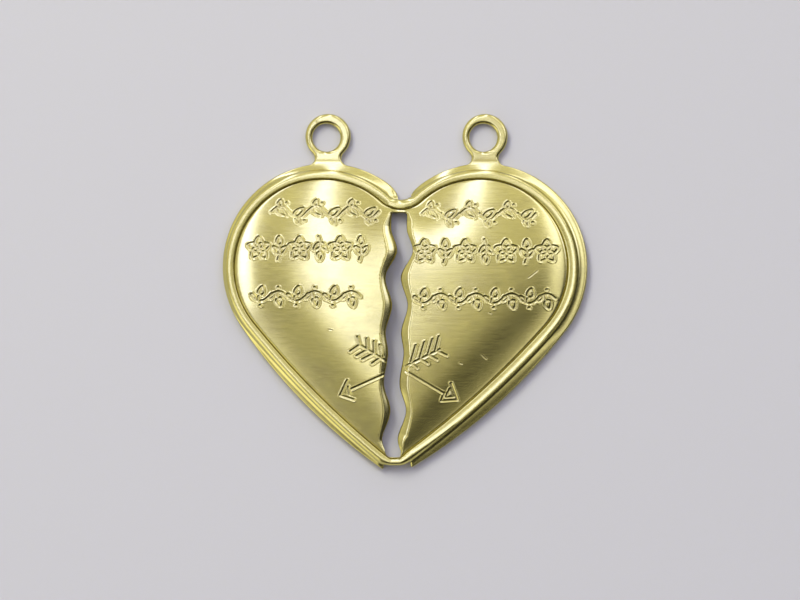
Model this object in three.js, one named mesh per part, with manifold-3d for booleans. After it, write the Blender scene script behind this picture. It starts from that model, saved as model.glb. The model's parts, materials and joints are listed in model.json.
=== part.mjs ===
// Heart charm pressed from one sheet of raw brass. A wavy slot parts the heart into two
// halves, which still hold together at two thin webs: one at the cleft, one at the tip.
// Each half keeps a hanging loop. Folding the charm at the webs snaps the halves apart.
// Millimetres. +X points right, +Y towards the loops, +Z out of the front.

import * as THREE from 'three';
import * as BufferGeometryUtils from 'three/addons/utils/BufferGeometryUtils.js';
import Module from 'manifold-3d';

const wasm = await Module();
wasm.setup();

// Sheet and pressed relief, heights above the surface that the charm lies on
const SHEET = 0.6;
const FLANGE_RISE = 0.2;
const BEAD_HEIGHT = 0.24;
// Shares of the way from the bead's foot to its groove: the crest, and the shoulder height
// that the gentle inner side keeps above the groove
const BEAD_CREST = 0.3;
const BEAD_SHOULDER = 0.62;
const GROOVE_RISE = 0.06;
const CROWN = 0.72;
const CROWN_REACH = 5.06;
const CROWN_POWER = 1.6;

// Heart drawn by the groove inside the bead: two lobes, two flanks, a round cleft
const HEART_AXIS_X = -0.33;
const LOBE_SPAN = 12.8;
const LOBE_Y = 1.97;
const LOBE_RADIUS = 7.2;
const CLEFT_RADIUS = 2.33;
const FLANK_RADIUS = 73.6;
const BEAD_WIDTH = 0.78;

// Trimmed edge of the blank: the flange left round the bead, cut a little off centre
const TRIM_SHIFT_X = 0.34;
const FLANGE_WIDTH = 0.5;
const TRIM_FLANK_RADIUS = 46;
const TRIM_CLEFT_ANGLE = 124.5;
const TRIM_CORNER = 0.2;
const EDGE_ROUND = 0.1;
const LAND_WIDTH = 0.26;
const NOTCH_RUNOUT = 0.35;
// Where a strip is narrow, an edge, land or roll takes at most this share of it
const NARROW_SHARE = 0.45;

// Slot between the halves. The wave of its centre line has x in millimetres at shares of
// the way from the slot's upper end to its tip.
const SLOT_WIDTH = 1.25;
const SLOT_CORNER = 0.16;
const LIP = 0.5;
const SLOT_WAVE = [
  [-0.47, 0.008],
  [-0.46, 0.074],
  [-0.02, 0.16],
  [-0.96, 0.262],
  [-0.42, 0.377],
  [-0.94, 0.483],
  [-0.75, 0.577],
  [-1.08, 0.7],
  [-0.56, 0.81],
  [-1.22, 0.917],
  [-0.98, 0.974],
];

// Edge turned down along the slot. Its bend waves less than the cut, so its width changes.
const ROLL_WIDTH = 0.55;
const ROLL_LEAST = 0.35;
const ROLL_MOST = 0.85;
const ROLL_DROP = 0.3;
const ROLL_CHAMFER = 0.4;
const BEND_CALM = 0.45;

// Webs: their roots on each half, the strip of field that each keeps beside the slot, and
// the drop and the width of the bead as it rounds the tip
const CLEFT_ROOT_LEFT_X = -0.45;
const CLEFT_ROOT_RIGHT_X = 0.0;
const CLEFT_STRIP = 0.3;
const TIP_ROOT_LEFT_X = -1.1;
const TIP_ROOT_RIGHT_X = -0.45;
const TIP_STRIP = 0.12;
const TIP_DROP = 0.45;
const TIP_BEAD_WIDTH = 0.53;

// Hanging loops, each standing on the top of its trimmed lobe
const LOOP_RISE = 2.2;
const LOOP_RADIUS = 1.85;
const LOOP_HOLE_RADIUS = 1.14;
const LOOP_ROUND = 0.17;
// The holes are pierced with the heart, a little off the middle of their rings
const HOLE_SHIFT_X = -0.14;
const HOLE_DROP = 0.09;
const NECK_WIDTH = 2.2;
const NECK_FLARE = 0.45;
// Degrees from straight down at which the ring bends into its neck
const THROAT_ANGLE = 45;
const NECK_SINK = 0.4;
const CREASE_DEPTH = 0.07;
const CREASE_RISE = 0.15;

// The two halves differ a little, because the pressed heart leans
const HALVES = {
  left: {
    side: -1,
    flankAngle: 38.9,
    trimFlankAngle: 34.4,
    flankEnd: 1.46,
    cleftNotchX: -0.56,
    tipNotch: 0.5,
    cleftRootX: CLEFT_ROOT_LEFT_X,
    tipRootX: TIP_ROOT_LEFT_X,
    loopShift: 0.11,
  },
  right: {
    side: 1,
    flankAngle: 41.8,
    trimFlankAngle: 38,
    flankEnd: 0.55,
    cleftNotchX: 0.49,
    tipNotch: 0.25,
    cleftRootX: CLEFT_ROOT_RIGHT_X,
    tipRootX: TIP_ROOT_RIGHT_X,
    loopShift: 0.12,
  },
};

// How finely each stretch of the rim is sampled, from the cleft root round to the tip root
const STEPS = { cleftStrip: 1, cleftEnd: 6, lobe: 34, flank: 16, tipEnd: 5, tipStrip: 2 };
// Where two stretches part: along the cleft's arc, and down the slot wave
const CLEFT_SHARE = 0.8;
const LOBE_SHARE = 0.46;
// Rows of each cross-section over the bead, the field, the rolled edge and the hollow side
const BEAD_STEPS = [0.07, 0.17, 0.3, 0.5, 0.72, 0.9];
const FIELD_STEPS = 7;
const ROLL_STEPS = [0, 0.55, 0.85, 1];
const HOLLOW_STEPS = 5;

const MERGE = 1e-5;
const rad = THREE.MathUtils.degToRad;
const FOOT_Z = SHEET + FLANGE_RISE;
const GROOVE_Z = FOOT_Z + GROOVE_RISE;
const TRIM_AXIS_X = HEART_AXIS_X + TRIM_SHIFT_X;
const TRIM_LOBE_RADIUS = LOBE_RADIUS + BEAD_WIDTH + FLANGE_WIDTH;
const SLOT_X = SLOT_WAVE.reduce((sum, [x]) => sum + x, 0) / SLOT_WAVE.length;

// Points at equal steps along a curve, from share a to share b of its length
function along(curve, steps, a = 0, b = 1) {
  const points = [];
  for (let i = 0; i <= steps; i++) {
    points.push(curve.getPointAt(a + ((b - a) * i) / steps));
  }
  return points;
}

// Joins stretches of points, leaving out each shared end
function chain(...stretches) {
  return stretches.reduce((all, next) => all.concat(next.slice(1)), stretches[0].slice(0, 1));
}

// Half of a heart, with u measured outwards from its axis: lobe arc, then flank arc
function heartArcs(lobeU, lobeY, lobeRadius, flankRadius, flankAngle) {
  const toFlank = new THREE.Vector2(Math.cos(rad(flankAngle)), -Math.sin(rad(flankAngle)));
  const lobe = new THREE.Vector2(lobeU, lobeY);
  const flank = lobe.clone().addScaledVector(toFlank, lobeRadius - flankRadius);
  return { lobe, flank, lobeRadius, flankRadius, turn: -rad(flankAngle) };
}

function flankAngleAt(arcs, radius, u) {
  return -Math.acos((u - arcs.flank.x) / radius);
}

function arc(center, radius, from, to) {
  return new THREE.EllipseCurve(center.x, center.y, radius, radius, from, to, to < from);
}

// Curve that rounds the tip: leaves the flank along its tangent and runs out level at tipY
function tipCurve(start, flankTheta, endU, tipY) {
  const drop = (start.y - tipY) / Math.cos(flankTheta);
  const corner = Math.max(start.x + drop * Math.sin(flankTheta), endU);
  return new THREE.QuadraticBezierCurve(
    start,
    new THREE.Vector2(corner, tipY),
    new THREE.Vector2(endU, tipY),
  );
}

// Arcs of the groove, or of a line outside it by offset
function beadArcs(half, offset) {
  return heartArcs(
    LOBE_SPAN / 2,
    LOBE_Y,
    LOBE_RADIUS + offset,
    FLANK_RADIUS + offset,
    half.flankAngle,
  );
}

// Where the groove leaves the flank to round the tip
function grooveEnd(half) {
  const arcs = beadArcs(half, 0);
  const theta = flankAngleAt(arcs, FLANK_RADIUS, half.flankEnd);
  return { theta, y: arcs.flank.y + FLANK_RADIUS * Math.sin(theta) };
}

const cleftReach = LOBE_RADIUS + CLEFT_RADIUS;
const cleftY = LOBE_Y + Math.sqrt(cleftReach ** 2 - (LOBE_SPAN / 2) ** 2);
const slotTopY = cleftY - CLEFT_RADIUS - CLEFT_STRIP;
const tipGrooveY = Math.min(...Object.values(HALVES).map((half) => grooveEnd(half).y)) - TIP_DROP;
const slotTipY = tipGrooveY + TIP_STRIP;

// The groove, or the bead's outer foot when offset is the bead's width
function beadLine(half, offset, tipY) {
  const arcs = beadArcs(half, offset);
  const cleft = new THREE.Vector2(0, cleftY);
  const cleftRadius = CLEFT_RADIUS - offset;
  const meet = Math.atan2(cleft.y - LOBE_Y, -cleft.x - LOBE_SPAN / 2);
  const down = -Math.PI / 2;
  const toU = (x) => half.side * (x - HEART_AXIS_X);
  const rootAngle = down + Math.asin(toU(half.cleftRootX) / cleftRadius);
  const notchAngle = down + Math.asin(toU(half.cleftNotchX) / cleftRadius);
  const endAngle = down + CLEFT_SHARE * (meet - Math.PI - down);
  const { theta } = grooveEnd(half);
  const flank = arc(arcs.flank, arcs.flankRadius, arcs.turn, theta);
  const tip = tipCurve(flank.getPoint(1), theta, toU(half.tipRootX), tipY);
  const lobePath = new THREE.CurvePath();
  lobePath.add(arc(cleft, cleftRadius, endAngle, meet - Math.PI));
  lobePath.add(arc(arcs.lobe, arcs.lobeRadius, meet, arcs.turn));
  const points = chain(
    along(arc(cleft, cleftRadius, rootAngle, notchAngle), STEPS.cleftStrip),
    along(arc(cleft, cleftRadius, notchAngle, endAngle), STEPS.cleftEnd),
    along(lobePath, STEPS.lobe),
    along(flank, STEPS.flank),
    along(tip, STEPS.tipEnd, 0, half.tipNotch),
    along(tip, STEPS.tipStrip, half.tipNotch, 1),
  );
  const line = points.map((p) => new THREE.Vector2(HEART_AXIS_X + half.side * p.x, p.y));
  line[0].x = half.cleftRootX;
  line[line.length - 1].x = half.tipRootX;
  return line;
}

// The trimmed edge. At both webs it is notched back to the bead, so it follows foot there.
function trimLine(half, foot) {
  const arcs = heartArcs(
    LOBE_SPAN / 2,
    LOBE_Y,
    TRIM_LOBE_RADIUS,
    TRIM_FLANK_RADIUS,
    half.trimFlankAngle,
  );
  const toU = (x) => half.side * (x - TRIM_AXIS_X);
  const inU = (p) => new THREE.Vector2(toU(p.x), p.y);
  const cleftStart = inU(foot[STEPS.cleftStrip]);
  const tipStop = inU(foot[foot.length - 1 - STEPS.tipStrip]);
  const lobe = arc(arcs.lobe, arcs.lobeRadius, rad(TRIM_CLEFT_ANGLE), arcs.turn);
  const lobeStart = lobe.getPoint(0);
  const slope = Math.tan(rad(TRIM_CLEFT_ANGLE - 90));
  const cleftCorner = new THREE.Vector2(
    cleftStart.x,
    lobeStart.y - (lobeStart.x - cleftStart.x) * slope,
  );
  const cleftEnd = new THREE.QuadraticBezierCurve(cleftStart, cleftCorner, lobeStart);
  const endTheta = flankAngleAt(arcs, arcs.flankRadius, tipStop.x + TRIM_CORNER);
  const flank = arc(arcs.flank, arcs.flankRadius, arcs.turn, endTheta);
  const flankStop = flank.getPoint(1);
  const tipCorner = new THREE.Vector2(
    tipStop.x,
    flankStop.y + TRIM_CORNER / Math.tan(endTheta),
  );
  const tipEnd = new THREE.QuadraticBezierCurve(flankStop, tipCorner, tipStop);
  const cut = chain(
    along(cleftEnd, STEPS.cleftEnd),
    along(lobe, STEPS.lobe),
    along(flank, STEPS.flank),
    along(tipEnd, STEPS.tipEnd),
  ).map((p) => new THREE.Vector2(TRIM_AXIS_X + half.side * p.x, p.y));
  return chain(
    foot.slice(0, STEPS.cleftStrip + 1),
    cut,
    foot.slice(foot.length - 1 - STEPS.tipStrip),
  );
}

// The half's edge along the slot: round corner, wave, round corner
function slotLine(half) {
  const offset = (half.side * SLOT_WIDTH) / 2;
  const wave = new THREE.SplineCurve(
    SLOT_WAVE.map(([x, share]) => {
      return new THREE.Vector2(x + offset, THREE.MathUtils.lerp(slotTopY, slotTipY, share));
    }),
  );
  const waveTop = wave.getPoint(0);
  const waveTip = wave.getPoint(1);
  const top = new THREE.Path();
  top.moveTo(half.cleftRootX, slotTopY);
  top.lineTo(waveTop.x - half.side * SLOT_CORNER, slotTopY);
  top.quadraticCurveTo(waveTop.x, slotTopY, waveTop.x, waveTop.y);
  const tip = new THREE.QuadraticBezierCurve(
    waveTip,
    new THREE.Vector2(waveTip.x, slotTipY),
    new THREE.Vector2(half.tipRootX, slotTipY),
  );
  const topSteps = STEPS.cleftStrip + STEPS.cleftEnd;
  const tipSteps = STEPS.tipEnd + STEPS.tipStrip;
  const line = chain(
    along(top, topSteps),
    along(wave, STEPS.lobe, 0, LOBE_SHARE),
    along(wave, STEPS.flank, LOBE_SHARE, 1),
    along(tip, tipSteps),
  );
  line[0].x = half.cleftRootX;
  line[line.length - 1].x = half.tipRootX;
  return line;
}

for (const half of Object.values(HALVES)) {
  half.groove = beadLine(half, 0, tipGrooveY);
  half.foot = beadLine(half, BEAD_WIDTH, tipGrooveY - TIP_BEAD_WIDTH);
  half.trim = trimLine(half, half.foot);
  half.slot = slotLine(half);
}
const grooveLoop = [...HALVES.left.groove].reverse().concat(HALVES.right.groove);

// How deep a point lies inside the groove: its distance from it near by, and a smooth round
// pillow further in, from the inverse squares of its distances to the whole groove
function pillowDepth(point) {
  const pull = grooveLoop.reduce((sum, corner, i) => {
    const a = corner.clone().sub(point);
    const b = grooveLoop[(i + 1) % grooveLoop.length].clone().sub(point);
    const cross = Math.max(Math.abs(a.cross(b)), MERGE ** 2);
    return sum + (Math.atan2(cross, a.dot(b)) * a.distanceTo(b)) / cross;
  }, 0);
  return Math.PI / pull;
}

// Height of the pressed field: rises from the groove all round the heart to its crown
function fieldHeight(point) {
  const share = Math.min(pillowDepth(point) / CROWN_REACH, 1);
  return GROOVE_Z + CROWN * (1 - (1 - share) ** CROWN_POWER);
}

// Height of the bead at a share of the way from its foot: a full round outer side, and a
// gentle inner side that ends in a shoulder over the groove
function beadSwell(share) {
  if (share < BEAD_CREST) return Math.sin((Math.PI / 2) * (share / BEAD_CREST));
  const inward = (share - BEAD_CREST) / (1 - BEAD_CREST);
  return 1 - (1 - BEAD_SHOULDER) * inward ** 2;
}

// Cross-section of a half at one step round its rim. Both its faces, the front and the
// hollow back, run from the trimmed edge to the slot.
function section(half, i) {
  const trim = half.trim[i];
  const foot = half.foot[i];
  const groove = half.groove[i];
  const slot = half.slot[i];
  const flange = trim.distanceTo(foot);
  const field = groove.distanceTo(slot);
  const runout = Math.min(flange / NOTCH_RUNOUT, 1);
  const edgeBottom = FLANGE_RISE * (1 - runout);
  const edgeTop = edgeBottom + SHEET;
  const round = Math.min(EDGE_ROUND, flange * NARROW_SHARE);
  const land = Math.min(LAND_WIDTH, flange * NARROW_SHARE);
  const wave = half.side * (slot.x - SLOT_X) - SLOT_WIDTH / 2;
  const bend = THREE.MathUtils.clamp(ROLL_WIDTH - BEND_CALM * wave, ROLL_LEAST, ROLL_MOST);
  const roll = Math.min(bend, field * NARROW_SHARE);
  const rollDrop = (ROLL_DROP * roll) / ROLL_WIDTH;
  const onFlange = (d) => trim.clone().lerp(foot, flange > 0 ? d / flange : 0);
  const onField = (d) => groove.clone().lerp(slot, d / field);
  const at = (p, z) => new THREE.Vector3(p.x, p.y, z);

  const front = [
    at(trim, edgeBottom + round),
    at(trim, edgeTop - round),
    at(onFlange(round), edgeTop),
    at(foot, FOOT_Z),
  ];
  for (const f of BEAD_STEPS) {
    const base = THREE.MathUtils.lerp(FOOT_Z, GROOVE_Z, f);
    front.push(at(foot.clone().lerp(groove, f), base + BEAD_HEIGHT * beadSwell(f)));
  }
  front.push(at(groove, GROOVE_Z));
  for (let k = 1; k < FIELD_STEPS; k++) {
    const p = onField(((field - roll) * k) / FIELD_STEPS);
    front.push(at(p, fieldHeight(p)));
  }
  const rollStart = fieldHeight(onField(field - roll));
  for (const f of ROLL_STEPS) {
    const dip = ROLL_CHAMFER * f + (1 - ROLL_CHAMFER) * (1 - Math.sqrt(1 - f * f));
    front.push(at(onField(field - roll * (1 - f)), rollStart - rollDrop * dip));
  }

  const back = [
    at(onFlange(round), edgeBottom),
    at(onFlange(land), edgeBottom),
    at(foot, FOOT_Z - SHEET),
    at(foot.clone().lerp(groove, 0.5), FOOT_Z - SHEET + BEAD_HEIGHT / 2),
    at(groove, GROOVE_Z - SHEET),
  ];
  for (let k = 1; k <= HOLLOW_STEPS; k++) {
    const p = onField(((field - roll) * k) / HOLLOW_STEPS);
    back.push(at(p, fieldHeight(p) - SHEET));
  }
  back.push(at(slot, rollStart - rollDrop - LIP));
  return { front, back };
}

const turned = (faces) => faces.map(([a, b, c]) => [a, c, b]);

// Closes the end of a loft with faces laced between the front and the back
function endFaces({ front, back }) {
  const whole = front.length + back.length;
  const progress = (p) => p.distanceTo(new THREE.Vector3(front[0].x, front[0].y, p.z));
  const faces = [];
  let i = 0;
  let j = 0;
  while (i + 1 < front.length || j + 1 < back.length) {
    const frontNext = i + 1 < front.length ? progress(front[i + 1]) : Infinity;
    const backNext = j + 1 < back.length ? progress(back[j + 1]) : Infinity;
    if (frontNext <= backNext) {
      faces.push([i, i + 1, whole - 1 - j]);
      i++;
    } else {
      faces.push([i, whole - 2 - j, whole - 1 - j]);
      j++;
    }
  }
  return faces;
}

// Skins a row of cross-sections and closes both ends
function loft(sections) {
  const rings = sections.map(({ front, back }) => [...front, ...[...back].reverse()]);
  const count = rings[0].length;
  const last = (rings.length - 1) * count;
  const corners = rings.flat();
  const sides = [];
  for (let a = 0; a < last; a++) {
    const b = a % count === count - 1 ? a + 1 - count : a + 1;
    sides.push([a, b, b + count], [a, b + count, a + count]);
  }
  const whole = sides.concat(
    turned(endFaces(sections[0])),
    endFaces(sections.at(-1)).map((face) => face.map((k) => k + last)),
  );
  const volume = whole.reduce((sum, [a, b, c]) => {
    return sum + corners[a].dot(corners[b].clone().cross(corners[c]));
  }, 0);
  const geometry = new THREE.BufferGeometry().setFromPoints(corners);
  geometry.setIndex((volume > 0 ? whole : turned(whole)).flat());
  return geometry;
}

// Solids for joining and cutting
function toSolid(geometry) {
  const bare = geometry.clone();
  bare.deleteAttribute('normal');
  bare.deleteAttribute('uv');
  const merged = BufferGeometryUtils.mergeVertices(bare, MERGE);
  const mesh = new wasm.Mesh({
    numProp: 3,
    vertProperties: new Float32Array(merged.attributes.position.array),
    triVerts: new Uint32Array(merged.index.array),
  });
  return new wasm.Manifold(mesh);
}

function toGeometry(solid) {
  const mesh = solid.getMesh();
  const geometry = new THREE.BufferGeometry();
  geometry.setAttribute('position', new THREE.BufferAttribute(mesh.vertProperties, 3));
  geometry.setIndex(new THREE.BufferAttribute(mesh.triVerts, 1));
  return geometry;
}

// Top of the trimmed lobe under a loop, at a distance to one side of the loop's middle
function lobeTopY(half, offset) {
  return LOBE_Y + Math.sqrt(TRIM_LOBE_RADIUS ** 2 - (half.loopShift + offset) ** 2);
}

// Hanging loop: a coined ring on a short neck that flares into the flange
function loopSolid(half) {
  const edge = lobeTopY(half, 0);
  const neck = NECK_WIDTH / 2;
  const base = neck + NECK_FLARE;
  const sunk = Math.min(lobeTopY(half, -base), lobeTopY(half, base)) - NECK_SINK;
  const throat = rad(THROAT_ANGLE);
  const middleX = TRIM_AXIS_X + (half.side * LOBE_SPAN) / 2 + half.loopShift;
  const middleY = edge + LOOP_RISE;
  const ringX = LOOP_RADIUS * Math.sin(throat);
  const ringY = middleY - LOOP_RADIUS * Math.cos(throat);
  const bend = (ringX - neck) / Math.cos(throat);
  const throatY = ringY - bend * Math.sin(throat);
  const outline = new THREE.Shape();
  outline.moveTo(ringX, ringY);
  outline.absarc(0, middleY, LOOP_RADIUS, throat - Math.PI / 2, 1.5 * Math.PI - throat, false);
  outline.quadraticCurveTo(-neck, throatY, -neck, throatY - bend);
  outline.quadraticCurveTo(-neck, edge, -base, lobeTopY(half, -base));
  outline.lineTo(-base, sunk);
  outline.lineTo(base, sunk);
  outline.lineTo(base, lobeTopY(half, base));
  outline.quadraticCurveTo(neck, edge, neck, throatY - bend);
  outline.quadraticCurveTo(neck, throatY, ringX, ringY);
  const hole = new THREE.Path();
  hole.absarc(HOLE_SHIFT_X, middleY - HOLE_DROP, LOOP_HOLE_RADIUS, 0, 2 * Math.PI, true);
  outline.holes.push(hole);
  const plate = new THREE.ExtrudeGeometry(outline, {
    depth: SHEET - 2 * LOOP_ROUND,
    curveSegments: 16,
    bevelThickness: LOOP_ROUND,
    bevelSize: LOOP_ROUND,
    bevelOffset: -LOOP_ROUND,
    bevelSegments: 3,
  });
  plate.translate(middleX, 0, LOOP_ROUND);
  const crease = new THREE.CylinderGeometry(CREASE_DEPTH, CREASE_DEPTH, 2 * NECK_WIDTH, 4);
  crease.rotateZ(Math.PI / 2);
  crease.translate(middleX, edge + CREASE_RISE, SHEET);
  return toSolid(plate).subtract(toSolid(crease));
}

const charm = new THREE.Group();

function addPiece(name, geometry, color) {
  const brass = new THREE.MeshStandardMaterial({ color, roughness: 0.34, metalness: 1 });
  const mesh = new THREE.Mesh(geometry, brass);
  mesh.name = name;
  charm.add(mesh);
}

// The halves, each with its loop
for (const half of Object.values(HALVES)) {
  half.sections = half.trim.map((_, i) => section(half, i));
}
const halfGeometry = (half) => toGeometry(toSolid(loft(half.sections)).add(loopSolid(half)));
const { left, right } = HALVES;
addPiece('left_half', halfGeometry(left), 0xc9bb72);
addPiece('right_half', halfGeometry(right), 0xb9aa66);

// The webs carry the bead on from the end section of one half to that of the other
addPiece('top_web', loft([left.sections[0], right.sections[0]]), 0xd2c67e);
addPiece('bottom_web', loft([left.sections.at(-1), right.sections.at(-1)]), 0xd2c67e);

// Origin at the middle of the bounding box, on the surface that the charm lies on
const box = new THREE.Box3().setFromObject(charm);
const middle = box.getCenter(new THREE.Vector3());
charm.position.set(-middle.x, -middle.y, -box.min.z);

export default charm;
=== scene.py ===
"""Heart charm pressed from one sheet of raw brass, made of two halves that snap apart.

Sizes are in millimetres until a mesh is made, and Blender's are in metres. +X points right,
+Y towards the hanging loops and +Z out of the front.
"""
import json
import math

import bpy
import numpy as np
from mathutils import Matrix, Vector
from mathutils.geometry import delaunay_2d_cdt

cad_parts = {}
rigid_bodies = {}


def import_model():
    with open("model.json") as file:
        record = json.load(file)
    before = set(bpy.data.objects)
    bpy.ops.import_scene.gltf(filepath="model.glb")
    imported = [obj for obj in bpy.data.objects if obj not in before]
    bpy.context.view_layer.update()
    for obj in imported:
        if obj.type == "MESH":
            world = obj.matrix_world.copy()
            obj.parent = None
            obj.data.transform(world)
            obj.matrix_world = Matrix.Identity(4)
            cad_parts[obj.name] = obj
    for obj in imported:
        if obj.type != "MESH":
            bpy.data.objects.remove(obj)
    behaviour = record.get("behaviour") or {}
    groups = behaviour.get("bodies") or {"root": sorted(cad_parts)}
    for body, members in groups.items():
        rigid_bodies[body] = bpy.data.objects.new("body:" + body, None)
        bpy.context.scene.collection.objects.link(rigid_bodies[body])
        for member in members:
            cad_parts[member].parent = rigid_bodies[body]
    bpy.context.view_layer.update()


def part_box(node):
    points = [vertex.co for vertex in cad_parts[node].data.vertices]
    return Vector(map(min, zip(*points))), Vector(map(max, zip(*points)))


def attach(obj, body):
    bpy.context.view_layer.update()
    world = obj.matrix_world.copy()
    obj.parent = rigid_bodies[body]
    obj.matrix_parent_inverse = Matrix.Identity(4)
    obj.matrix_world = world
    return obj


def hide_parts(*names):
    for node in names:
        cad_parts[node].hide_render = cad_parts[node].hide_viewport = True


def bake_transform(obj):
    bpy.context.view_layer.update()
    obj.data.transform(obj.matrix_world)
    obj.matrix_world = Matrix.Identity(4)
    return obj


for leftover in list(bpy.data.objects):
    bpy.data.objects.remove(leftover)
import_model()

# Lines of the pressed heart
# The die presses a groove in the shape of a heart with a bead round it, and the blank is
# trimmed a little off centre. A wavy slot parts the heart, and each line here belongs to
# one half, from its root at the cleft round to its root at the tip.
MM = 0.001
HEART_AXIS_X = -0.33
LOBE_SPAN = 12.8
LOBE_Y = 1.97
LOBE_RADIUS = 7.2
CLEFT_RADIUS = 2.33
FLANK_RADIUS = 73.6
BEAD_WIDTH = 0.78
TRIM_AXIS_X = HEART_AXIS_X + 0.34
FLANGE_WIDTH = 0.5
TRIM_LOBE_RADIUS = LOBE_RADIUS + BEAD_WIDTH + FLANGE_WIDTH
TRIM_FLANK_RADIUS = 46
TRIM_CLEFT_ANGLE = 124.5
TRIM_CORNER = 0.2
SLOT_WIDTH = 1.25
SLOT_CORNER = 0.16
# Turns of the slot's middle line: x, and the share of the way down from the cleft
SLOT_WAVE = (
    (-0.47, 0.008), (-0.46, 0.074), (-0.02, 0.16), (-0.96, 0.262),
    (-0.42, 0.377), (-0.94, 0.483), (-0.75, 0.577), (-1.08, 0.7),
    (-0.56, 0.81), (-1.22, 0.917), (-0.98, 0.974),
)
CLEFT_STRIP = 0.3
TIP_STRIP = 0.12
TIP_DROP = 0.45
TIP_BEAD_WIDTH = 0.53
HALVES = {
    "left": {
        "side": -1,
        "flank_angle": 38.9,
        "trim_flank_angle": 34.4,
        "flank_end": 1.46,
        "cleft_notch_x": -0.56,
        "tip_notch": 0.5,
        "cleft_root_x": -0.45,
        "tip_root_x": -1.1,
        "loop_shift": 0.11,
    },
    "right": {
        "side": 1,
        "flank_angle": 41.8,
        "trim_flank_angle": 38,
        "flank_end": 0.55,
        "cleft_notch_x": 0.49,
        "tip_notch": 0.25,
        "cleft_root_x": 0.0,
        "tip_root_x": -0.45,
        "loop_shift": 0.12,
    },
}
# Steps of each stretch of a half's rim, and where the slot's wave changes stretch
STEPS = {
    "cleft_strip": 2, "cleft_end": 46, "lobe": 330, "flank": 200, "tip_end": 40, "tip_strip": 8,
}
CLEFT_SHARE = 0.8
LOBE_SHARE = 0.46
FINE_STEPS = 1200


def arc(center, radius, start, stop, steps=400):
    """Points of a circle's arc between two angles."""
    angles = np.linspace(start, stop, steps + 1)
    return np.stack(
        (center[0] + radius * np.cos(angles), center[1] + radius * np.sin(angles)), axis=1
    )


def bezier(start, corner, stop, steps=60):
    """Points of a curve that leaves start and reaches stop along lines through corner."""
    t = np.linspace(0, 1, steps + 1)[:, None]
    start, corner, stop = (np.array(p, float) for p in (start, corner, stop))
    return (1 - t) ** 2 * start + 2 * t * (1 - t) * corner + t**2 * stop


def spline(points, steps=40):
    """Points of a smooth curve through the given ones."""
    points = np.array(points, float)
    t = np.linspace(0, 1, steps, endpoint=False)[:, None]
    stretches = []
    for i in range(len(points) - 1):
        before, here = points[max(i - 1, 0)], points[i]
        ahead, beyond = points[i + 1], points[min(i + 2, len(points) - 1)]
        leave, arrive = (ahead - before) / 2, (beyond - here) / 2
        stretches.append(
            (2 * t**3 - 3 * t**2 + 1) * here
            + (t**3 - 2 * t**2 + t) * leave
            + (3 * t**2 - 2 * t**3) * ahead
            + (t**3 - t**2) * arrive
        )
    return np.vstack((*stretches, points[-1:]))


def lengths(rows):
    """Length of each row of an array."""
    return np.linalg.norm(rows, axis=1)


def along(line, steps, start=0.0, stop=1.0):
    """Points at equal steps along a line, between two shares of its length."""
    passed = np.r_[0, np.cumsum(lengths(np.diff(line, axis=0)))]
    at = np.linspace(start, stop, steps + 1) * passed[-1]
    return np.stack([np.interp(at, passed, line[:, k]) for k in (0, 1)], axis=1)


def chain(*stretches):
    """Joins stretches of points and leaves out each shared end."""
    return np.vstack((stretches[0][:1], *(stretch[1:] for stretch in stretches)))


def heart_arcs(lobe_radius, flank_radius, angle):
    """Centres of a half heart's lobe and flank arcs, with x measured out from its axis, and
    the angle at which they meet."""
    lobe = np.array((LOBE_SPAN / 2, LOBE_Y))
    towards = np.array((math.cos(math.radians(angle)), -math.sin(math.radians(angle))))
    flank = lobe + (lobe_radius - flank_radius) * towards
    return lobe, flank, -math.radians(angle)


def flank_angle_at(flank, radius, u):
    """Angle at which a flank arc passes a distance out from the axis."""
    return -math.acos((u - flank[0]) / radius)


def groove_end(half):
    """Angle and height at which the groove leaves the flank to round the tip."""
    _, flank, _ = heart_arcs(LOBE_RADIUS, FLANK_RADIUS, half["flank_angle"])
    theta = flank_angle_at(flank, FLANK_RADIUS, half["flank_end"])
    return theta, flank[1] + FLANK_RADIUS * math.sin(theta)


cleft_y = LOBE_Y + math.sqrt((LOBE_RADIUS + CLEFT_RADIUS) ** 2 - (LOBE_SPAN / 2) ** 2)
slot_top_y = cleft_y - CLEFT_RADIUS - CLEFT_STRIP
tip_groove_y = min(groove_end(half)[1] for half in HALVES.values()) - TIP_DROP
slot_tip_y = tip_groove_y + TIP_STRIP


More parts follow.
